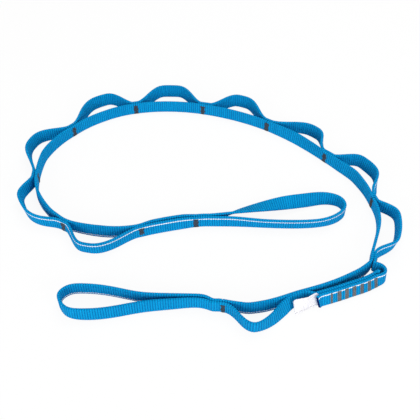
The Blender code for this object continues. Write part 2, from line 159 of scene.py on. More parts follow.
def joined(*lines):
    """One line from several, less the points that repeat where they meet."""
    line = np.concatenate(lines)
    keep = np.concatenate([[True], np.linalg.norm(np.diff(line, axis=0), axis=1) > 1e-6])
    return line[keep]


# %% Smooth line through chosen points
POINTS_PER_SPAN = 60


def smooth_line(points, first, last):
    """Cubic spline over chord lengths, with given end directions.

    The second derivatives solve the three-term equations of a spline. Between two points the
    line is their straight mix, plus a cubic that bends it to those second derivatives.
    """
    points = np.asarray(points, float)
    span = np.diff(distances(points))
    slope = np.diff(points, axis=0) / span[:, None]
    matrix = np.diag(2 * np.append(span, 0) + 2 * np.append(0, span))
    matrix += np.diag(span, 1) + np.diag(span, -1)
    first_slope, last_slope = [first / np.linalg.norm(first)], [last / np.linalg.norm(last)]
    jumps = np.diff(np.concatenate([first_slope, slope, last_slope]), axis=0)
    second = np.linalg.solve(matrix, 6 * jumps)
    u = np.linspace(0.0, 1.0, POINTS_PER_SPAN, endpoint=False)[None, :, None]
    bend = second[:-1, None] * ((1 - u) ** 3 - (1 - u)) + second[1:, None] * (u**3 - u)
    line = (1 - u) * points[:-1, None] + u * points[1:, None] + span[:, None, None] ** 2 / 6 * bend
    return np.concatenate([line.reshape(-1, 2), points[-1:]])


# %% Smooth steps and averages
def smoothstep(share):
    """3x^2 - 2x^3, which leaves 0 and reaches 1 level."""
    share = np.clip(share, 0.0, 1.0)
    return share**2 * (3 - 2 * share)


def averaged(values, reach):
    """Each value's mean with its neighbours, weighted by a bell that reaches so many each way."""
    bell = np.hanning(2 * reach + 1)
    return np.convolve(np.pad(values, reach, "edge"), bell / bell.sum(), "valid")


# %% The spine
SPINE_POINTS, SPINE_MARGIN = 8000, 0.01

knots = [a + share * (b - a) for a, b, row in zip(TACKS, TACKS[1:], HEADINGS) for share, _ in row]
headings = [heading for row in HEADINGS for _, heading in row]
SPINE_S = np.linspace(-SPINE_MARGIN, TACKS[-1] + SPINE_MARGIN, SPINE_POINTS)
SPINE_HEADING = np.radians(np.interp(SPINE_S, knots, headings))
halfway = (SPINE_HEADING[1:] + SPINE_HEADING[:-1]) / 2
steps = np.diff(SPINE_S)[:, None] * np.stack([np.cos(halfway), np.sin(halfway)], axis=1)
SPINE = np.concatenate([np.zeros((1, 2)), np.cumsum(steps, axis=0)])
print("spine points:", len(SPINE))


# %% Places beside the spine
def along(s):
    """Unit direction of the spine at a distance."""
    heading = np.interp(s, SPINE_S, SPINE_HEADING)
    return np.stack([np.cos(heading), np.sin(heading)], axis=-1)


def beside(s, offset=0.0):
    """Point of the spine at a distance, moved to its left."""
    point = np.stack([np.interp(s, SPINE_S, SPINE[:, i]) for i in range(2)], axis=-1)
    return point + left_of(along(s)) * np.asarray(offset)[..., None]


def axis(tack):
    """Where the strap bends beside a hinged tack."""
    return beside(TACKS[tack - 1] + HINGE_SIDES[tack] * HINGE_OFFSET, PLY_SPACING / 2)


# %% Move the plan to where the solid model is, by the first hinge
def joint_place(body):
    """Where the joint that turns a body stands in plan."""
    joint = next(joint for joint in frame["joints"] if joint["child"] == body)
    return np.array(joint["pos_m"][:2])


SPINE += joint_place("upper_end_loop") - axis(1)
print("first tack at", np.round(beside(0.0), 4))

# %% [markdown]
# ## Slack and lean
#
# The solid model's straps are upright walls on a clean plan. Real webbing strays from a plan by a
# few millimetres and leans a little, which is much of what makes it look soft. We could bend the
# finished meshes, but it is simpler to change the lines and angles that they are made from. Both
# are kept in short tables by tack number, and an average rounds off the tables' corners.

# %% Slack: how far the cloth strays to the left (+) or right (-) of the plan, in millimetres
SLACK = (
    (1, 0.2), (2, 0.2), (2.5, 0.3), (2.9, -1.0), (3.15, -4.3), (3.4, -3.8), (3.75, 0.8), (4, 2.6),
    (4.4, 5.7), (5, 0.4), (5.5, -0.9), (6, -0.3), (6.3, 0), (7.4, 0), (8, 0.4), (8.6, -1.3),
    (9, -1.6), (9.25, -1.0), (9.5, 1.6), (9.8, 1.5), (10, 0), (10.5, -0.7), (10.85, -1.6), (11, 0),
    (11.1, 0.8), (11.35, 1.6), (11.55, 1.6), (11.75, 4.8), (11.85, 5.0), (12, -1.2),
)
TABLE_REACH = 60
tack_number = np.interp(SPINE_S, TACKS, np.arange(1, LAST + 1))


def by_tack(table):
    """Straight lines between a table's rows of tack number and value, averaged over 15 mm."""
    return averaged(np.interp(tack_number, *np.transpose(table)), TABLE_REACH)


strays = by_tack(SLACK)
SPINE += left_of(along(SPINE_S)) * strays[:, None] / 1000
print(f"slack from {strays.min():.1f} to {strays.max():.1f} mm")

# %% Outward lean of the two strands in degrees, by tack number
POCKET_LEANS = (
    (1, 0), (1.2, -7), (1.8, -7), (2, 0), (2.5, 2), (2.75, -5), (3, 0), (3.3, 7), (3.5, 12),
    (3.8, 4), (4, 0), (4.3, 12), (4.5, 12), (4.75, 4), (5, 0), (5.25, 13), (5.5, 15), (5.75, 7),
    (6, 0), (6.25, 10), (6.5, 15), (6.75, 10), (7, 0), (7.25, 8), (7.5, 16), (7.7, 11), (8, 0),
    (8.25, 3), (8.55, 14), (8.7, 4), (8.84, -20), (8.93, -8), (9, 0), (9.25, 10), (9.5, 18),
    (9.68, 4), (9.84, -20), (9.93, -8), (10, 0), (10.2, 4), (10.45, 11), (10.62, 13), (10.8, -3),
    (10.93, -5), (11, 0),
)
SPINE_LEANS = (
    (1, 0), (1.2, -7), (1.8, -7), (2, 0), (2.5, -9), (3, 0), (3.5, -6), (4, 0), (4.5, 4), (5, 0),
    (8, 0), (8.5, 11), (9, 0), (9.5, 13), (10, 0), (11, 0), (11.07, -7), (11.2, -8), (11.4, -6),
    (11.55, -7), (11.75, -10), (11.9, -5), (12, 0),
)
LEAN_SAMPLES = 400


def leans(outward, first, last):
    """Lean at even steps between two tacks. It is minus the table, because outwards is left."""
    places = np.linspace(TACKS[first - 1], TACKS[last - 1], LEAN_SAMPLES)
    return -np.interp(places, SPINE_S, by_tack(outward))


print(f"the pockets lean outwards by up to {by_tack(POCKET_LEANS).max():.0f} degrees")

# %% Strands of the chain
SPINE_STEP, POCKET_SAMPLES = 0.0004, 240
SHOULDER_REACH, SHOULDER_START = 20, 0.008


def sewn(tack, side):
    """How far the two strands stay pressed together before (-1) or after (+1) a tack."""
    return side * (HINGE_OFFSET + HINGE_SEAT if HINGE_SIDES.get(tack) == side else SEWN_REACH)


def spine_strand(first, last):
    """The spine from one tack to another."""
    return beside(np.arange(TACKS[first - 1], TACKS[last - 1], SPINE_STEP))


def pocket_strand(first, last):
    """The outer strand rises over one flank by a smoothstep, runs level and comes down.

    A bell-shaped average over 14 mm then rounds its shoulders, away from the tacks.
    """
    parts = []
    for number in range(first, last):
        rise, crest, flank = POCKETS[number - 1]
        start, end = TACKS[number - 1], TACKS[number]
        s = np.linspace(start, end, POCKET_SAMPLES)
        low, high = start + sewn(number, 1), end + sewn(number + 1, -1)
        share = np.clip((s - low) / (high - low), 0.0, 1.0)
        side = np.where(share < crest, share / crest, (1 - share) / (1 - crest)) / 2
        bulge = rise * (end - start) * smoothstep(side / flank)
        rounded = averaged(bulge, SHOULDER_REACH)
        free = smoothstep((s - low) / SHOULDER_START) * smoothstep((high - s) / SHOULDER_START)
        parts.append(beside(s, PLY_SPACING + bulge + free * (rounded - bulge)))
    return joined(*parts)


# %% Lines of the two end loops
UPPER_HEADING, LOWER_HEADING, LOOP_LEAD = 3, 180, 0.0022


def loop_strand(tack, heading, shares, side):
    """From the pocket strand at a tack, round the loop and back to the spine's strand.

    The bend beside the tack moves with the slack there, and the rest of the loop stays put.
    """
    seat, half = HINGE_SEAT, side * PLY_SPACING / 2
    local = np.array([(seat, half), *(np.array(shares) * LOOP_LENGTH), (seat, -half)])
    ahead = direction(heading)
    bend = TACKS[tack - 1] + HINGE_SIDES[tack] * HINGE_OFFSET
    straying = left_of(along(bend)) * np.interp(bend, SPINE_S, strays) / 1000
    route = axis(tack) + local[:, :1] * ahead + local[:, 1:] * left_of(ahead)
    route[2:-2] -= straying
    s = TACKS[tack - 1] + HINGE_SIDES[tack] * np.array([0.0, LOOP_LEAD])
    out, back = beside(s, PLY_SPACING), beside(s[::-1], 0.0)
    away = HINGE_SIDES[tack] * along(TACKS[tack - 1])
    return smooth_line(np.concatenate([out, route, back]), away, -away)


UPPER_LINE = loop_strand(1, UPPER_HEADING, UPPER_LOOP, -1)
LOWER_LINE = loop_strand(LAST, LOWER_HEADING, LOWER_LOOP, 1)
print(f"upper loop {distances(UPPER_LINE)[-1]:.3f} m, lower loop {distances(LOWER_LINE)[-1]:.3f} m")

# %% Lines of the splice and the last pocket
PRESSED_POINTS, PLY_SPREAD, SPREAD_REACH = 12, 0.0030, 0.024


def tail_points(shares):
    """Shares of the chord between the last two tacks, turned into points."""
    start, end = beside(TACKS[-2]), beside(TACKS[-1])
    chord = (end - start) / np.linalg.norm(end - start)
    points = np.array(shares) * SPLICE_PITCH
    return start + points[:, :1] * chord + points[:, 1:] * left_of(chord)


def pressed(start, end):
    """The outer strand's line where it lies against the spine, between two distances."""
    return beside(np.linspace(start, end, PRESSED_POINTS), PLY_SPACING)


lead = pressed(TACKS[-2], TACKS[-2] + SEWN_REACH)
lap = tail_points(SPLICE)
OUTER_PLY = joined(lead, smooth_line([lead[-1], *lap], lead[-1] - lead[-2], lap[-1] - lap[-2]))
outer_run, outer_ahead = distances(OUTER_PLY), tangents(OUTER_PLY)
lapped = OUTER_PLY[outer_run > outer_run[-1] - LAP_LENGTH]
spread = PLY_SPREAD * smoothstep(1 - distances(lapped) / SPREAD_REACH)
under = lapped - left_of(tangents(lapped)) * (PLY_SPACING + spread[:, None])
close = pressed(TACKS[-1] - SEWN_REACH, TACKS[-1])
onwards, inwards = under[-1] - under[-2], close[1] - close[0]
pocket = smooth_line([under[-1], *tail_points(LAST_POCKET), close[0]], onwards, inwards)
INNER_PLY = joined(under, pocket, close)
print(f"outer ply {outer_run[-1]:.3f} m, inner ply {distances(INNER_PLY)[-1]:.3f} m")

# %% [markdown]
# ## The webbing's surface
#
# Climbing webbing is woven as a flat tube with cross ribs. Each rib is a low rounded bar right
# across the strap, with a sharp groove before the next. We model the ribs in the mesh, because
# they catch light and break up the edge, and leave the single yarns to the material. The section
# is a rectangle with round edges, carried along the line with eight stations to a rib.

# %% Section of the webbing
RIB_PITCH, RIB_DEPTH, EDGE_RADIUS = 0.0026, 0.0003, 0.0008
RIB_PLACES = np.array([0.0, 0.05, 0.15, 0.32, 0.5, 0.68, 0.85, 0.95])
CORNER_POINTS, FACE_POINTS = 5, 4


def webbing_section():
    """Points (left, up) and outward normals of a rectangle with quarter circles at its corners.

    The normal turns from down to right, up, left and down again. Four points divide each face.
    """
    quarter = np.linspace(0.0, np.pi / 2, CORNER_POINTS)
    theta = np.arange(4)[:, None] * np.pi / 2 + quarter
    normals = np.stack([-np.sin(theta), -np.cos(theta)], axis=-1)
    half, low, high = WEB_THICKNESS / 2 - EDGE_RADIUS, EDGE_RADIUS, WEB_WIDTH - EDGE_RADIUS
    centres = np.array([(-half, low), (-half, high), (half, high), (half, low)])
    corners = centres[:, None] + EDGE_RADIUS * normals
    up = np.linspace(low, high, FACE_POINTS + 2)[1:-1]
    right = np.column_stack([np.full(FACE_POINTS, -WEB_THICKNESS / 2), up])
    left = -right[::-1] * (1, -1)
    points = np.concatenate([corners[0], right, corners[1], corners[2], left, corners[3]])
    flat = np.tile([(-1.0, 0.0)], (FACE_POINTS, 1))
    sides = np.concatenate([normals[0], flat, normals[1], normals[2], -flat, normals[3]])
    return points, sides


SECTION, SECTION_SIDES = webbing_section()
print(len(SECTION), "points round the section")

# %% Distance of each point round the section, from the middle of the foot
loop_round = np.concatenate([SECTION, SECTION[:1]])
GIRTH = distances(loop_round) + WEB_THICKNESS / 2 - EDGE_RADIUS
FULL_GIRTH = distances(loop_round)[-1]
print(f"girth {FULL_GIRTH * 1000:.1f} mm")

# %% Put arrays into a mesh object
SHARP_ANGLE = 60


def surface(name, points, faces, uv=None):
    """A smooth-shaded object from points and faces, with one UV pair for each face corner."""
    mesh = bpy.data.meshes.new(name)
    mesh.from_pydata(points.reshape(-1, 3).tolist(), [], faces)
    if uv is not None:
        layer = mesh.uv_layers.new(name="weave")
        layer.uv.foreach_set("vector", np.asarray(uv, np.float32).ravel())
    mesh.shade_smooth()
    mesh.set_sharp_from_angle(angle=np.radians(SHARP_ANGLE))
    piece = bpy.data.objects.new(name, mesh)
    bpy.context.scene.collection.objects.link(piece)
    return piece


def closed_tube(rings, sides, start=0):
    """Faces of a tube whose points are numbered ring after ring from a start.

    Quads join each ring to the next and close round it. The first ring's points in order and the
    last ring's in reverse close the ends, so that both of them face outwards.
    """
    i, j = np.meshgrid(np.arange(rings - 1), np.arange(sides), indexing="ij")
    k = (j + 1) % sides
    ring, following = start + i * sides, start + (i + 1) * sides
    quads = np.stack([ring + j, following + j, following + k, ring + k], axis=-1)
    last = start + (rings - 1) * sides
    ends = [list(range(start, start + sides)), list(range(last + sides - 1, last - 1, -1))]
    return quads.reshape(-1, 4).tolist() + ends


# %% [markdown]
# Only one face of this strip carries a white tracer line, close to one edge. The material must
# know where that is, so V runs round the section in millimetres from the tracer's edge, across
# the tracer's face first. U counts ribs, which keeps the weave in step with the bars in the mesh.


# %% Map of the weave
def weave_map(ribs, face, edge):
    """U is the number of ribs so far and V the distance round the section, in millimetres.

    V starts at the foot, or half a girth on where the tracer runs near the top, and turns round
    where just one of face and edge is negative. A quad below 0 or past the end moves by a whole
    girth. The points of the cut ends get a U of -1.
    """
    sides = len(SECTION)
    girth = face * edge * (GIRTH - (FULL_GIRTH / 2 if edge > 0 else 0.0))
    low, high = girth[:-1], girth[1:]
    shift = -np.floor((low + high) / 2 / FULL_GIRTH) * FULL_GIRTH
    low, high = (low + shift) * 1000, (high + shift) * 1000
    i, j = np.divmod(np.arange((len(ribs) - 1) * sides), sides)
    corners = ((i, low), (i + 1, low), (i + 1, high), (i, high))
    uv = np.stack([np.stack([ribs[ring], v[j]], axis=-1) for ring, v in corners], axis=1)
    cut_ends = np.column_stack([np.full(2 * sides, -1.0), np.tile(low, 2)])
    return np.concatenate([uv.reshape(-1, 2), cut_ends])


# %% Carry the section along a line
def turned(local, degrees, pivot):
    """Points (left, up) turned about a height, so that the top goes to the right."""
    cos, sin = np.cos(np.radians(degrees))[:, None], np.sin(np.radians(degrees))[:, None]
    left, up = local[..., 0], local[..., 1] - pivot
    return np.stack([left * cos - up * sin, left * sin + up * cos + pivot], axis=-1)


def band(name, line, face, edge, roll=0.0, lean=0.0, about=0.0):
    """Webbing along a plan line.

    A rib swells the section by the square root of a sine over each pitch. The section is rolled
    about its middle, leant about a height and set down on its foot. Then it is set across the
    line: left times the first coordinate, up times the second. face is 1 where the tracer's face
    is on the left, and edge is 1 where the tracer runs near the top.
    """
    run = distances(line)
    count = int(round(run[-1] / RIB_PITCH))
    ribs = np.append((np.arange(count)[:, None] + RIB_PLACES).ravel(), count)
    s = ribs / count * run[-1]
    x, y = (np.interp(s, run, line[:, i]) for i in range(2))
    heading = np.interp(s, run, np.unwrap(np.arctan2(*tangents(line).T[::-1])))
    swell = np.sqrt(np.abs(np.sin(np.pi * ribs)))[:, None, None] - 1
    local = SECTION + SECTION_SIDES * RIB_DEPTH * swell
    share = s / run[-1]
    roll, lean = (np.interp(share, np.linspace(0, 1, np.size(given)), np.ravel(given))
                  for given in (roll, lean))
    local = turned(turned(local, roll, MID_HEIGHT), lean, about)
    lift = np.abs(np.sin(np.radians(lean))) * WEB_THICKNESS / 2
    local[..., 1] += (lift - about * (1 - np.cos(np.radians(lean))))[:, None]
    across = left_of(np.stack([np.cos(heading), np.sin(heading)], axis=-1))
    plan = np.stack([x, y], axis=-1)[:, None] + across[:, None] * local[..., :1]
    points = np.concatenate([plan, local[..., 1:]], axis=-1)
    faces = closed_tube(len(s), len(SECTION))
    piece = surface(name, points, faces, weave_map(ribs, face, edge))
    print(f"{name}: {run[-1] * 1000:.0f} mm, {count} ribs, {len(faces)} faces")
    return piece


# %% [markdown]
# ## Strands
#
# The strip is made in pieces that meet under the bar tacks, where thread hides the seam. A piece that passes a
# place where the chain bends is neither split nor blended there, and stays where it is made.


# %% A piece that passes a bend stays where it is made
BEND_NEAR, BEND_FAR = 0.0027, 0.0085


def bend_at(piece, tack, after):
    """Works out where the bend starts and ends, but moves no points and puts the piece on no body.

    Before and after are in the spine's direction, but an end loop always starts at its tack.
    """
    side, s = HINGE_SIDES[tack], TACKS[tack - 1]
    near, far = s + side * BEND_NEAR, s + side * BEND_FAR
    from_tack = side > 0 or after.endswith("loop")
    start, end = (near, far) if from_tack else (far, near)
    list(beside(start))
    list(beside(end))
    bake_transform(piece)


# %% Spine
def spine_piece(name, first, last):
    """The spine between two tacks, with the tracer low on its left."""
    piece = band(name, spine_strand(first, last), 1, -1, lean=leans(SPINE_LEANS, first, last))
    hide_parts(*(f"spine_{number:02d}" for number in range(first, last)))
    return piece


spine_left = spine_piece("spine_left", 1, 6)
spine_top = spine_piece("spine_top", 6, 8)
spine_right = spine_piece("spine_right", 8, 10)
spine_tail = spine_piece("spine_tail", 10, 12)
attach(spine_left, "chain_left")
bend_at(spine_top, 7, "chain_middle")
bend_at(spine_right, 9, "chain_right")
bend_at(spine_tail, 11, "tail")


# %% Pocket strand
def pocket_piece(name, first, last):
    """Pockets between two tacks, with the tracer high on their left."""
    lean = leans(POCKET_LEANS, first, last)
    piece = band(name, pocket_strand(first, last), 1, 1, lean=lean, about=MID_HEIGHT)
    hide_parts(*(f"pocket_{number:02d}" for number in range(first, last)))
    return piece


pockets_left = pocket_piece("pockets_left", 1, 6)
pockets_top = pocket_piece("pockets_top", 6, 8)
pockets_right = pocket_piece("pockets_right", 8, 10)
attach(pockets_left, "chain_left")
bend_at(pockets_top, 7, "chain_middle")
bend_at(pockets_right, 9, "chain_right")

# %% [markdown]
# ## The fold and the splice
#
# Past the last pocket the outer strand turns back in a tight curl and ends in a cut, lapped over
# the other end of the strip. That inner end goes on to the left and bulges into the last pocket.

# %% Last pocket of the row and outer ply, in one piece with a slight flare at its cut end
SPLICE_LEAN, LEAN_START, LEAN_RUN = 18.0, 0.012, 0.025
FLARE, FLARE_RUN = 0.0020, 0.005
EVEN_STEPS = 200


def even(values, line):
    """Values at points of a line, read at even steps of its length."""
    run = distances(line)
    return np.interp(np.linspace(0.0, run[-1], EVEN_STEPS), run, values)


outer_lean = SPLICE_LEAN * smoothstep((outer_run - LEAN_START) / LEAN_RUN)
flare = FLARE * np.clip((outer_run - outer_run[-1] + FLARE_RUN) / FLARE_RUN, 0.0, 1.0) ** 2
flared = OUTER_PLY + left_of(outer_ahead) * flare[:, None]
fold_line = joined(pocket_strand(10, 11), flared)
fold_run = distances(fold_line)
fold_start = fold_run[-1] - outer_run[-1]
pocket_run = np.linspace(0.0, fold_start, LEAN_SAMPLES)
fold_lean = np.interp(fold_run - fold_start, outer_run, outer_lean, left=0.0)
fold_lean += np.interp(fold_run, pocket_run, leans(POCKET_LEANS, 10, 11), right=0.0)
pocket_fold = band("pocket_fold", fold_line, 1, 1, lean=even(fold_lean, fold_line),
                   about=MID_HEIGHT)
bend_at(pocket_fold, 11, "tail")
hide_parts("pocket_10", "splice_outer_ply")

# %% Inner ply and the pocket of the tail, with leans in degrees at distances past the lap
LEANS_PAST_LAP = (
    (-0.018, SPLICE_LEAN), (0.008, 18), (0.028, 28), (0.045, 15), (0.062, 0), (0.085, -2),
    (0.100, 0),
)
inner_run = distances(INNER_PLY)
inner_lean = np.interp(inner_run - LAP_LENGTH, *np.transpose(LEANS_PAST_LAP))
last_pocket = band("last_pocket", INNER_PLY, -1, -1, lean=even(inner_lean, INNER_PLY),
                   about=MID_HEIGHT)
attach(last_pocket, "tail")
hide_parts("splice_inner_ply")

# %% [markdown]
# ## End loops
#
# Each loop is the same strip going out and back. In the upper one the strand that comes back has
# a half twist, which brings the tracer from the top of one face to the foot of the other.

# %% Upper loop, with its twist in degrees at shares of the loop's length on the way back
HALF_TWIST = (
    (0.03, 180), (0.12, 163), (0.245, 136), (0.31, 124), (0.40, 108), (0.50, 87), (0.60, 63),
    (0.70, 41), (0.80, 21), (0.95, 0),
)
TWIST_REACH, UPPER_LEAN, UPPER_LEAN_START = 40, 10.0, 0.15
LEAN_RISE, LEAN_END, LEAN_FALL = 0.3, 0.95, 0.2


def along_loop(share, start):
    """A smoothstep up from a starting share times a smoothstep down before the loop's tip."""
    return smoothstep((share - start) / LEAN_RISE) * smoothstep((LEAN_END - share) / LEAN_FALL)


upper_share = (UPPER_LINE - axis(1)) @ direction(UPPER_HEADING) / LOOP_LENGTH
returning = np.arange(len(upper_share)) > np.argmax(upper_share)
twist = np.where(returning, np.interp(upper_share, *np.transpose(HALF_TWIST)), 0.0)
twist = averaged(twist, TWIST_REACH)
upper_lean = np.where(returning, 0.0, UPPER_LEAN * along_loop(upper_share, UPPER_LEAN_START))
upper_loop = band("upper_loop", UPPER_LINE, -1, 1, roll=even(twist, UPPER_LINE),
                  lean=even(upper_lean, UPPER_LINE))
bend_at(upper_loop, 1, "upper_end_loop")
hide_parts("upper_end_loop")

# %% Lower loop, whose near strand leans back on the way out
LOWER_LEAN, LOWER_LEAN_START = 8.0, 0.1

lower_share = (LOWER_LINE - axis(LAST)) @ direction(LOWER_HEADING) / LOOP_LENGTH
outgoing = np.arange(len(lower_share)) < np.argmax(lower_share)
lower_lean = np.where(outgoing, LOWER_LEAN * along_loop(lower_share, LOWER_LEAN_START), 0.0)
lower_loop = band("lower_loop", LOWER_LINE, -1, -1, lean=even(lower_lean, LOWER_LINE))
bend_at(lower_loop, LAST, "lower_end_loop")
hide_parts("lower_end_loop")

# %% [markdown]
# ## Bar tacks
#
# A bar tack is a dense zigzag of thick thread across the strap, so close that it looks solid from
# a step away. We lay one small tube for each stitch. Both of its ends dive into the webbing.

# %% Stitches of one face of a tack
STITCH_PITCH, THREAD_RADIUS, THREAD_SIDES = 0.00048, 0.00027, 6
STITCH_SINK, STITCH_ARCH, STITCH_SLANT = 0.0002, 0.0004, 0.28
STITCH_PLACES = np.array([-1.0, -0.93, -0.7, -0.25, 0.25, 0.7, 0.93, 1.0])
WANDER_OUT, WANDER_UP = 0.00006, 0.00005
OUTER_FACE = PLY_SPACING / 2 + WEB_THICKNESS / 2


def stitches(length, stray, seed):
    """Tubes of thread as an array (stitch, ring, side, 3) of along, out and up.

    A stitch runs along by x from -1 to 1 and climbs about half a pitch. It stands out by an arch,
    1 - x^8, and six points stand round it in a circle. Its reach and its place wander by sums of
    sines of the stitch's number and the seed, so they are uneven but the same in each run.
    """
    x = STITCH_PLACES
    k = np.arange(int(TACK_HEIGHT / STITCH_PITCH))[:, None]
    wander = np.sin(k * 2.4 + seed) * 0.6 + np.sin(k * 5.1 + 2.0 * seed) * 0.4
    ragged = stray * (0.5 * wander + np.sin(k * 0.42 + 1.9 * seed))
    reach = length / 2 * (1 + ragged)
    slant = np.where(k % 2 == 0, 1, -1) * STITCH_SLANT
    arch = STITCH_ARCH * (1 - x**8)
    path = np.stack([
        reach * x,
        OUTER_FACE - STITCH_SINK + arch + WANDER_OUT * np.roll(wander, 1, axis=0),
        TACK_FOOT + (k + 0.5 + slant * x) * STITCH_PITCH + WANDER_UP * wander,
    ], axis=-1)
    turn = np.linspace(0.0, 2 * np.pi, THREAD_SIDES, endpoint=False)
    circle = np.stack([np.zeros(THREAD_SIDES), np.cos(turn), -np.sin(turn)], axis=-1)
    return path[:, :, None] + circle * THREAD_RADIUS


# %% Ground of thread under the stitches
BED_INSET, BED_STEP, BED_PROUD, BED_TAPER = 0.0003, 0.0002, 0.00008, 0.9


def thread_bed(length):
    """A low block round both plies, as rings (4, 4, 3) that taper at the foot and the top."""
    along_it = np.array([-1, 1, 1, -1]) * (length / 2 - BED_INSET)
    up = np.array([TACK_FOOT, TACK_FOOT + BED_STEP, TACK_HEIGHT - BED_STEP, TACK_HEIGHT])
    out = np.array([1, 1, -1, -1]) * (OUTER_FACE + BED_PROUD)
    taper = np.array([BED_TAPER, 1.0, 1.0, BED_TAPER])[:, None]
    return np.stack(np.broadcast_arrays(along_it * taper, out * taper, up[:, None]), axis=-1)


# %% A whole tack: stitches on both faces and the ground of thread between them
FAR_SEED = 1.7


def bar_tack(name, node, body, centre, ahead, length, stray, seed, lean=0.0):
    """Leans a tack's local arrays with the webbing and sets them on the seam.

    Out and up turn about the middle height. The tack rises by the sine of the lean times half a
    thickness, twice that at its outer face and not at its inner one, as each ply's foot does.
    """
    near = stitches(length, stray, seed)
    far = stitches(length, stray, seed + FAR_SEED) * (-1, -1, 1)
    threads, bed = np.concatenate([near, far]), thread_bed(length)
    count, rings, sides, _ = threads.shape
    faces = []
    for number in range(count):
        faces += closed_tube(rings, sides, number * rings * sides)
    faces += closed_tube(*bed.shape[:2], count * rings * sides)
    local = np.concatenate([threads.reshape(-1, 3), bed.reshape(-1, 3)])
    cos, sin = np.cos(np.radians(lean)), np.sin(np.radians(lean))
    out, up = local[:, 1], local[:, 2] - MID_HEIGHT
    lifted = MID_HEIGHT * cos + (out / OUTER_FACE + 1) * WEB_THICKNESS / 2 * sin
    local[:, 1:] = np.column_stack([out * cos - up * sin, up * cos + lifted])
    plan = centre + local[:, :1] * ahead + local[:, 1:2] * left_of(ahead)
    piece = surface(name, np.column_stack([plan, local[:, 2]]), faces)
    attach(piece, body)
    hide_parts(node)
    return piece


# %% Tacks of the chain
CHAIN_STRAY, LAST_SHIFT = 0.26, 0.0016

bodies = frame["record"]["behaviour"]["bodies"]
node_body = {node: body for body, nodes in bodies.items() for node in nodes}
tacks = []
for number, s in enumerate(TACKS, start=1):
    node = f"pocket_tack_{number:02d}"
    centre = beside(s - (LAST_SHIFT if number == LAST else 0.0), PLY_SPACING / 2)
    tacks.append(bar_tack(f"stitches_{number:02d}", node, node_body[node], centre, along(s),
                          TACK_LENGTH, CHAIN_STRAY, number))
print(len(tacks), "tacks along the chain")

# %% Tacks of the splice, counted back from the cut end
SPLICE_STRAY, SPLICE_SEED = 0.05, 20

for number, length in enumerate(SPLICE_TACK_LENGTHS):
    s = outer_run[-1] - SPLICE_MARGIN - number * SPLICE_TACK_PITCH
    at = np.array([np.interp(s, outer_run, OUTER_PLY[:, i]) for i in range(2)])
    ahead = np.array([np.interp(s, outer_run, outer_ahead[:, i]) for i in range(2)])
    ahead /= np.linalg.norm(ahead)
    centre = at - left_of(ahead) * PLY_SPACING / 2
    tacks.append(bar_tack(f"splice_stitches_{number + 1}", f"splice_tack_{number + 1}", "tail",
                          centre, ahead, length, SPLICE_STRAY, SPLICE_SEED + number,
                          np.interp(s, outer_run, outer_lean)))
print(len(tacks), "tacks in all")

# %% [markdown]
# ## Label
#
# A soft white label is caught between the two plies at the cut end and folds out from there. Its
# foot swings further out than its top. It could be a cloth simulation, but a stiff ribbon of this
# size barely sags, so a grid with a gentle bow and wave says as much and is sooner made.

# %% Label sheet
LABEL_LENGTH, LABEL_HEIGHT, LABEL_THICKNESS = 0.0255, 0.0164, 0.00036
LABEL_TUCK, LABEL_CORNER, TUCK_DROP, TUCK_DROP_RUN = 0.009, 0.0035, 0.14, 0.002
FOOT_SPLAY, SPLAY_FALL, SPLAY_RUN = 13, 17, 0.004
LABEL_BOW, LABEL_WAVE, LABEL_LEAN_RUN = 0.0007, 0.00025, 0.012


def label_sheet():
    """A grid over length u and height v.

    Behind the cut end the sheet follows the splice's seam, and its top is a little lower so that
    the plies hide it. In front of it, it runs out at an angle that falls from 13 degrees at the
    foot to -4 degrees at the top, with a gentle bow of sin(pi u) and a slight wave of sin(9 v).
    The far top corner is rounded by lowering v along a quarter circle. The sheet leans with the
    splice at the cut end and stands up over 12 mm.
    """
    u = np.concatenate([np.linspace(-LABEL_TUCK, 0.0, 10)[:-1], np.linspace(0.0, LABEL_LENGTH, 40)])
    u, v = np.meshgrid(u, np.linspace(0.0, 1.0, 24), indexing="ij")
    past = np.clip(u - (LABEL_LENGTH - LABEL_CORNER), 0.0, LABEL_CORNER)
    corner = LABEL_CORNER - np.sqrt(LABEL_CORNER**2 - past**2)
    tucked = 1 - TUCK_DROP * smoothstep(-u / TUCK_DROP_RUN)
    up = TACK_FOOT + v * (LABEL_HEIGHT - corner) * tucked
    seam = OUTER_PLY - left_of(outer_ahead) * PLY_SPACING / 2
    at = outer_run[-1] + u
    root = np.stack([np.interp(at, outer_run, seam[:, i]) for i in range(2)], axis=-1)
    ahead = outer_ahead[-1]
    out = np.clip(u, 0.0, None)
    splay = np.radians(FOOT_SPLAY - SPLAY_FALL * v) * smoothstep(u / SPLAY_RUN)
    bow = LABEL_BOW * np.sin(np.pi * out / LABEL_LENGTH) * (1 - 0.5 * v)
    wave = LABEL_WAVE * np.sin(9 * v + 2 * out / LABEL_LENGTH) * out / LABEL_LENGTH
    forward, sideways = out * np.cos(splay), out * np.sin(splay) + bow + wave
    lean = np.radians(SPLICE_LEAN) * smoothstep(1 - u / LABEL_LEAN_RUN)
    sideways = sideways - (up - MID_HEIGHT) * np.sin(lean)
    plan = root + forward[..., None] * ahead + sideways[..., None] * left_of(ahead)
    return np.concatenate([plan, (up * np.cos(lean))[..., None]], axis=-1), u


def sheet_faces(rows, columns):
    """Quads between the rows and columns of an open grid."""
    i, j = np.meshgrid(np.arange(rows - 1), np.arange(columns - 1), indexing="ij")
    first = i * columns + j
    corners = [first, first + columns, first + columns + 1, first + 1]
    return np.stack(corners, axis=-1).reshape(-1, 4)


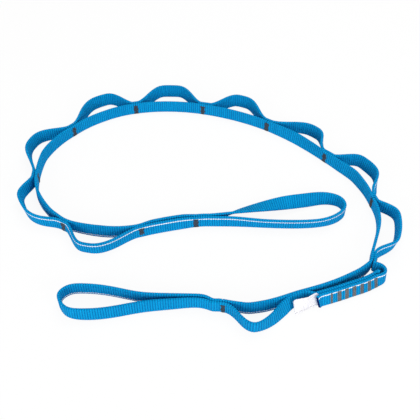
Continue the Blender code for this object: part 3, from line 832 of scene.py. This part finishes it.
grid, grid_u = label_sheet()
rows, columns = grid.shape[:2]
quads = sheet_faces(rows, columns)
grid_v = np.broadcast_to(np.linspace(0.0, LABEL_HEIGHT, columns), grid_u.shape)
label_uv = np.stack([grid_u, grid_v], axis=-1).reshape(-1, 2) * 1000
label = surface("sewn_label", grid, quads.tolist(), label_uv[quads].reshape(-1, 2))
cloth = label.modifiers.new("cloth thickness", "SOLIDIFY")
cloth.thickness, cloth.offset = LABEL_THICKNESS, 0.0
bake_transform(label)
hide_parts("label")
print("label:", rows, "by", columns, "points")

# %% [markdown]
# ## Finishes
#
# A shader is built from nodes, but its sums read best as Python. One small class wraps a socket,
# so an expression on it adds Math nodes, and one method makes any other node.


# %% Shader values
class Value:
    """A socket on which arithmetic adds Math nodes."""

    def __init__(self, nodes, socket):
        self.nodes, self.socket = nodes, socket

    def math(self, operation, *values):
        """A Math node on values that are sockets or numbers."""
        return self.nodes.node("ShaderNodeMath", {"operation": operation}, dict(enumerate(values)))

    def __add__(self, other):
        return self.math("ADD", self, other)

    def __mul__(self, other):
        return self.math("MULTIPLY", self, other)

    def __sub__(self, other):
        return self.math("SUBTRACT", self, other)

    def __rsub__(self, other):
        return self.math("SUBTRACT", other, self)

    def __truediv__(self, other):
        return self.math("DIVIDE", self, other)

    def __rtruediv__(self, other):
        return self.math("DIVIDE", other, self)

    __radd__, __rmul__ = __add__, __mul__

    def whole(self):
        """The whole number below the value."""
        return self.math("FLOOR", self)

    def larger(self, other):
        """The larger one of two values."""
        return self.math("MAXIMUM", self, other)

    def sine(self):
        """The sine of the value in radians."""
        return self.math("SINE", self)

    def wave(self):
        """A sine lifted to run from 0 to 1, with one wave for each unit."""
        return (self * (2 * np.pi)).sine() * 0.5 + 0.5

    def within(self, middle, half, soft):
        """1 where the value is within half of the middle, with soft edges."""
        away = self.math("ABSOLUTE", self - middle)
        settings = {"interpolation_type": "SMOOTHSTEP"}
        sockets = {"Value": away, "From Min": half + soft, "From Max": half - soft}
        return self.nodes.node("ShaderNodeMapRange", settings, sockets)


# %% Shader nodes
class Nodes:
    """A tree whose nodes all come from one method."""

    def __init__(self, tree):
        self.tree = tree

    def node(self, kind, settings=(), sockets=(), output=0):
        """Makes a node, sets it up, feeds its sockets and gives one of its outputs."""
        made = self.tree.nodes.new(kind)
        for name, setting in dict(settings).items():
            setattr(made, name, setting)
        for name, value in dict(sockets).items():
            self.feed(made.inputs[name], value)
        return Value(self, made.outputs[output])

    def feed(self, socket, value):
        """Links a value to a socket, or sets the socket to a number or colour."""
        if isinstance(value, Value):
            self.tree.links.new(value.socket, socket)
        else:
            socket.default_value = value

    def mix(self, share, first, second):
        """A colour between two others."""
        return self.node("ShaderNodeMix", {"data_type": "RGBA"},
                         {"Factor": share, 6: first, 7: second}, 2)

    def noise(self, where, scale, detail=2.0):
        """Cloudy noise around 0.5."""
        return self.node("ShaderNodeTexNoise", {},
                         {"Vector": where, "Scale": scale, "Detail": detail})

    def bump(self, strength, distance, height):
        """A normal that leans as a surface of this height would."""
        return self.node("ShaderNodeBump", {},
                         {"Strength": strength, "Distance": distance, "Height": height})

    def seen(self):
        """1 for a ray that shows a thing itself or its image in metal or glass, otherwise 0."""
        camera, glossy, through = (self.node("ShaderNodeLightPath", {}, {}, ray) for ray in
                                   ("Is Camera Ray", "Is Glossy Ray", "Is Transmission Ray"))
        return camera.larger(glossy).larger(through)


class Finish(Nodes):
    """A material with a Principled shader."""

    def __init__(self, name, **constants):
        self.material = bpy.data.materials.new(name)
        self.material.use_nodes = True
        super().__init__(self.material.node_tree)
        self.shader = self.tree.nodes["Principled BSDF"]
        self.put(**constants)

    def put(self, **sockets):
        """Feeds the shader's own sockets, with underscores for the spaces in their names."""
        for name, value in sockets.items():
            self.feed(self.shader.inputs[name.replace("_", " ")], value)


# %% [markdown]
# ## Webbing finish
#
# The blue yarns run along the strap and float over each rib. We raise each yarn by a sine across
# the strap, and shift it by half a yarn on every second rib as in a plain weave. Grooves hold
# less light, so they are painted a little darker too. The white tracer is two warp yarns that
# float over ribs and dive between them. A cut end is melted, so it is dark and smooth.

# %% Blue webbing with a white tracer, whose yarns and places are in millimetres
YARN_WIDTH, TRACER_AT, TRACER_HALF = 0.62, 3.75, 0.62
DEEP_BLUE, BRIGHT_BLUE = (0.0, 0.044, 0.24, 1.0), (0.0, 0.37, 0.735, 1.0)
MELTED_BLUE = (0.0, 0.012, 0.09, 1.0)
# The tracer's first white is painted shade for the grooves. The second is its full white on the crests.
TRACER_SHADED_WHITE, TRACER_CREST_WHITE = (0.55, 0.70, 0.80, 1.0), (0.95, 0.98, 1.0, 1.0)

webbing = Finish("blue_webbing", Roughness=0.75, Specular_IOR_Level=0.06, Sheen_Weight=0.08,
                 Sheen_Roughness=0.4, Sheen_Tint=(0.05, 0.45, 0.9, 1.0))
uv = webbing.node("ShaderNodeUVMap", {"uv_map": "weave"})
ribs = webbing.node("ShaderNodeSeparateXYZ", {}, {0: uv}, "X")
girth = webbing.node("ShaderNodeSeparateXYZ", {}, {0: uv}, "Y")
spot = webbing.node("ShaderNodeTexCoord", {}, {}, "Object")
rib = ribs.whole()
rib_share = ribs - rib
rib_height = (rib_share * np.pi).sine()
yarn = (girth / YARN_WIDTH + rib * 0.5).wave()
large, fine = webbing.noise(spot, 22.0), webbing.noise(spot, 900.0, 3.0)
one_rib = webbing.node("ShaderNodeTexWhiteNoise", {"noise_dimensions": "1D"}, {"W": rib})
shade = rib_height * 0.50 + yarn * 0.14 + fine * 0.22 + large * 0.15 + one_rib * 0.08
blue = webbing.mix(shade, DEEP_BLUE, BRIGHT_BLUE)
tracer = girth.within(TRACER_AT, TRACER_HALF, 0.10) * rib_share.within(0.5, 0.47, 0.06)
# Painted shade: the tracer runs from a shaded, bluer white in the grooves to full white on the crests.
tracer_colour = webbing.mix(rib_height, TRACER_SHADED_WHITE, TRACER_CREST_WHITE)
cut = ribs.within(-1.0, 0.5, 0.1)
webbing.put(Base_Color=webbing.mix(cut, webbing.mix(tracer, blue, tracer_colour), MELTED_BLUE),
            Normal=webbing.bump(0.55, 0.00012, yarn * 0.8 + fine * 0.5))
print("webbing finish:", len(webbing.tree.nodes), "nodes")

# %% [markdown]
# ## Thread and label finishes
#
# The thread is slate grey polyester: satin, with a twist that shows as fine slanting light and
# dark. The splice's thread is lighter and less blue than the chain's. The label is a smooth white
# ribbon, woven so finely that only a soft grid shows, with a hem and one line of stitches.


# %% Slate thread
def thread_finish(name, dark, light):
    """Satin thread between two greys, from twist-sized noise and wider patches."""
    thread = Finish(name, Roughness=0.5, Specular_IOR_Level=0.3)
    where = thread.node("ShaderNodeTexCoord", {}, {}, "Object")
    twisted, patch = thread.noise(where, 1500.0), thread.noise(where, 180.0)
    thread.put(Base_Color=thread.mix(twisted * 0.6 + patch * 0.4, (*dark, 1.0), (*light, 1.0)),
               Normal=thread.bump(0.5, 0.00006, twisted))
    return thread


chain_thread = thread_finish("slate_thread", (0.003, 0.008, 0.016), (0.06, 0.08, 0.12))
splice_thread = thread_finish("grey_thread", (0.025, 0.027, 0.033), (0.22, 0.22, 0.235))

# %% White label ribbon, with places in millimetres
PICKS_PER_MM, HEM_HEIGHTS, STITCH_LINE, STITCH_STEP = 3.2, (14.2, 0.8), 1.9, 1.5
SHADED_WHITE, LIT_WHITE = (0.76, 0.75, 0.79, 1.0), (0.86, 0.85, 0.88, 1.0)
HEM_GREY, STITCH_GREY = (0.62, 0.62, 0.66, 1.0), (0.10, 0.10, 0.12, 1.0)

ribbon = Finish("label_ribbon", Roughness=0.5, Sheen_Weight=0.1)
label_map = ribbon.node("ShaderNodeUVMap", {"uv_map": "weave"})
lengthways = ribbon.node("ShaderNodeSeparateXYZ", {}, {0: label_map}, "X")
upwards = ribbon.node("ShaderNodeSeparateXYZ", {}, {0: label_map}, "Y")
weave = (lengthways * PICKS_PER_MM).wave() * 0.5 + (upwards * PICKS_PER_MM).wave() * 0.5
hem = upwards.within(HEM_HEIGHTS[0], 0.12, 0.06) + upwards.within(HEM_HEIGHTS[1], 0.12, 0.06)
patches = ribbon.noise(label_map, 0.25)
face_white = ribbon.mix(weave * 0.4 + patches * 0.6, SHADED_WHITE, LIT_WHITE)
dashes = (lengthways / STITCH_STEP + 0.25).wave().within(1.0, 0.55, 0.15)
stitched = upwards.within(STITCH_LINE, 0.28, 0.1) * dashes
hemmed = ribbon.mix(hem * 0.25, face_white, HEM_GREY)
ribbon.put(Base_Color=ribbon.mix(stitched * 0.8, hemmed, STITCH_GREY),
           Normal=ribbon.bump(0.3, 0.00005, weave - hem))
print("label finish:", len(ribbon.tree.nodes), "nodes")

# %% Put the finishes on
bands = [spine_left, spine_top, spine_right, spine_tail, pockets_left, pockets_top, pockets_right,
         pocket_fold, last_pocket, upper_loop, lower_loop]
finishes = ((bands, webbing), (tacks[:LAST], chain_thread), (tacks[LAST:], splice_thread),
            ([label], ribbon))
for pieces, finish in finishes:
    for piece in pieces:
        piece.data.materials.append(finish.material)
slots = {"webbing": webbing, "thread": chain_thread, "label": ribbon}
for node, solid_piece in frame["nodes"].items():
    name = "thread" if "tack" in node else "label" if node == "label" else "webbing"
    solid_piece.data.materials.clear()
    solid_piece.data.materials.append(slots[name].material)
print("finished", len(bands) + len(tacks) + 1, "pieces")

# %% [markdown]
# ## Studio
#
# The picture is bright and nearly shadowless: a white table, a low soft lamp on each side in
# front, a wider one above and white all round. Most of the floor is a glow that only camera,
# glossy and transmission rays see, so it reads as white while the faint contact shadow stays.

# %% Floor
FLOOR_SIZE, FLOOR_Z, FLOOR_GLOW = 6.0, -0.0004, 0.92
WHITE = (1.0, 1.0, 1.0, 1.0)

floor_mesh = bpy.data.meshes.new("floor")
edge = FLOOR_SIZE / 2
floor_mesh.from_pydata([(-edge, -edge, FLOOR_Z), (edge, -edge, FLOOR_Z), (edge, edge, FLOOR_Z),
                        (-edge, edge, FLOOR_Z)], [], [(0, 1, 2, 3)])
floor = bpy.data.objects.new("floor", floor_mesh)
bpy.context.scene.collection.objects.link(floor)

table_top = Finish("white_table", Roughness=0.8, Base_Color=(0.9, 0.9, 0.9, 1.0))
glow = table_top.node("ShaderNodeEmission", {}, {"Color": WHITE, "Strength": 1.0})
matt = Value(table_top, table_top.shader.outputs[0])
share = table_top.seen() * FLOOR_GLOW
lit = table_top.node("ShaderNodeMixShader", {}, {0: share, 1: matt, 2: glow})
table_top.feed(table_top.tree.nodes["Material Output"].inputs["Surface"], lit)
floor.data.materials.append(table_top.material)
print("floor", FLOOR_SIZE, "m wide")

# %% World: dim as a light on the object, and plain white where it is seen
WORLD_LIGHT = 0.35

world = bpy.data.worlds.new("white_room")
world.use_nodes = True
bpy.context.scene.world = world
room = Nodes(world.node_tree)
sky = room.tree.nodes["Background"].inputs
strength = room.node("ShaderNodeMapRange", {},
                     {"Value": room.seen(), "To Min": WORLD_LIGHT, "To Max": 1.0})
room.feed(sky["Color"], WHITE)
room.feed(sky["Strength"], strength)


# %% Lamps
def soft_light(name, place, size, power):
    """A square lamp turned so that it faces the middle of the floor."""
    lamp = bpy.data.lights.new(name, "AREA")
    lamp.shape, lamp.size, lamp.energy = "SQUARE", size, power
    holder = bpy.data.objects.new(name, lamp)
    holder.location = place
    holder.rotation_euler = (-Vector(place)).to_track_quat("-Z", "Y").to_euler()
    bpy.context.scene.collection.objects.link(holder)
    print(f"{name}: {size} m wide, {power} W")


soft_light("left_softbox", (-0.95, -1.1, 0.60), 0.7, 10.8)
soft_light("right_softbox", (0.95, -1.15, 0.62), 0.7, 10.4)
soft_light("top_softbox", (0.3, 0.5, 1.4), 1.0, 12.2)

# %% Camera
ELEVATION, LENS, SENSOR_WIDTH, DISTANCE = 50.5, 60.51, 36.0, 0.795
TARGET_FROM_FIRST_TACK = (0.016, 0.020)

target = np.array([*(beside(0.0) + TARGET_FROM_FIRST_TACK), 0.0])
tilt = np.radians(ELEVATION)
camera_data = bpy.data.cameras.new("camera")
camera_data.lens, camera_data.sensor_width = LENS, SENSOR_WIDTH
camera = bpy.data.objects.new("camera", camera_data)
camera.location = target + DISTANCE * np.array([0.0, -np.cos(tilt), np.sin(tilt)])
camera.rotation_euler = (np.pi / 2 - tilt, 0.0, 0.0)
bpy.context.scene.collection.objects.link(camera)
bpy.context.scene.camera = camera
bpy.context.scene.view_settings.view_transform = "Standard"
print("camera at", [round(value, 3) for value in camera.location])
